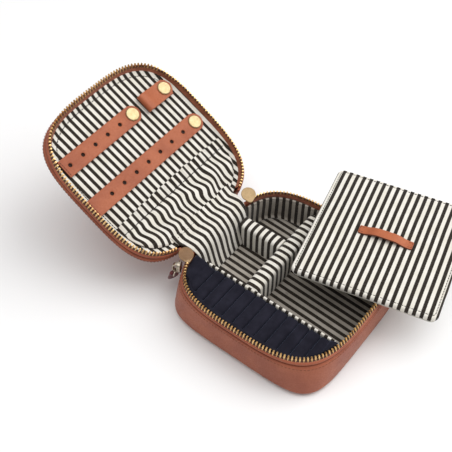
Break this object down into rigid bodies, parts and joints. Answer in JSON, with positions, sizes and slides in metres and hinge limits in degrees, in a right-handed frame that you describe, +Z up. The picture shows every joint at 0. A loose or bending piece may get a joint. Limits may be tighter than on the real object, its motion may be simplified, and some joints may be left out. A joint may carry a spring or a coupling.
{
  "type": "jewellery case",
  "caption": "Soft square leather travel jewellery case with a zip round three sides, striped lining, ring tray, dividers, strapped lid and a loose padded panel.",
  "frame": {"origin": "centre of the flat bottom, where the case rests on a table", "axes": "+Z up, +X along the hinge towards the end away from the ring tray, +Y from the front towards the hinge"},
  "size_m": [0.1774, 0.2739, 0.0982],
  "materials": {
    "tan_leather": "smooth tan leather with a fine grain, satin",
    "ticking": "woven cotton ticking, cream with charcoal stripes",
    "navy_velvet": "short-pile velvet over foam",
    "board": "plain grey board, hidden inside the covers",
    "zip_tape": "woven tan zip tape",
    "brass": "antique brass, satin",
    "elastic": "flat woven elastic"
  },
  "bodies": {
    "base": {"base_side_leather": "tan_leather", "base_bottom_leather": "tan_leather", "base_floor_board": "board", "base_wall_board": "board", "base_lining": "ticking", "base_zip_tape": "zip_tape", "base_zip_chain": "brass", "ring_bed": "navy_velvet", "ring_roll_01": "navy_velvet", "ring_roll_02": "navy_velvet", "ring_roll_03": "navy_velvet", "ring_roll_04": "navy_velvet", "ring_roll_05": "navy_velvet", "ring_roll_06": "navy_velvet", "ring_roll_07": "navy_velvet", "ring_roll_08": "navy_velvet", "ring_roll_09": "navy_velvet", "ring_roll_10": "navy_velvet", "ring_roll_11": "navy_velvet", "ring_roll_12": "navy_velvet", "ring_tray_wall": "ticking", "cross_divider": "ticking", "short_divider": "ticking", "hinge_spine": "tan_leather", "hinge_lining": "ticking", "zip_end_tab_left": "tan_leather", "zip_end_tab_right": "tan_leather", "zip_slider": "brass"},
    "zip_pull": {"pull_ring": "brass", "pull_leather": "tan_leather"},
    "lid": {"lid_side_leather": "tan_leather", "lid_top_leather": "tan_leather", "lid_board": "board", "lid_lining": "ticking", "lid_zip_tape": "zip_tape", "lid_zip_chain": "brass", "lid_pocket": "ticking", "pocket_elastic": "elastic", "tab_lower_layer": "tan_leather", "snap_stud_long": "brass", "snap_stud_short": "brass", "snap_stud_tab": "brass"},
    "long_strap": {"strap_long": "tan_leather", "snap_cap_long": "brass"},
    "short_strap": {"strap_short": "tan_leather", "snap_cap_short": "brass"},
    "tab": {"necklace_tab": "tan_leather", "snap_cap_tab": "brass"},
    "panel": {"panel_board": "board", "panel_cover": "ticking", "panel_handle": "tan_leather"}
  },
  "joints": [
    {"name": "lid_hinge", "type": "hinge", "parent": "base", "child": "lid", "pos_m": [0, 0.0632, 0.034], "axis": [-1, 0, 0], "range_deg": [-149, 0], "deforming": ["hinge_spine", "hinge_lining", "zip_end_tab_left", "zip_end_tab_right"]},
    {"name": "panel_slide", "type": "slide", "parent": "base", "child": "panel", "axis": [0.8179, -0.5754, 0], "range_m": [0, 0.098]},
    {"name": "long_strap_hinge", "type": "hinge", "parent": "lid", "child": "long_strap", "pos_m": [-0.0538, 0.11945, 0.06057], "axis": [0, -0.8572, -0.515], "range_deg": [0, 95]},
    {"name": "short_strap_hinge", "type": "hinge", "parent": "lid", "child": "short_strap", "pos_m": [-0.0496, 0.14705, 0.07715], "axis": [0, -0.8572, -0.515], "range_deg": [0, 95]},
    {"name": "tab_hinge", "type": "hinge", "parent": "lid", "child": "tab", "pos_m": [0.0275, 0.14546, 0.07981], "axis": [0, -0.8572, -0.515], "range_deg": [0, 110]},
    {"name": "pull_hinge", "type": "hinge", "parent": "base", "child": "zip_pull", "pos_m": [-0.04255, 0.06223, 0.0276], "axis": [0.9135, 0.4067, 0], "range_deg": [0, 60]}
  ],
  "couplings": [
    {"joint": "panel_slide", "follows": "lid_hinge", "m_per_rad": -0.037647}
  ]
}
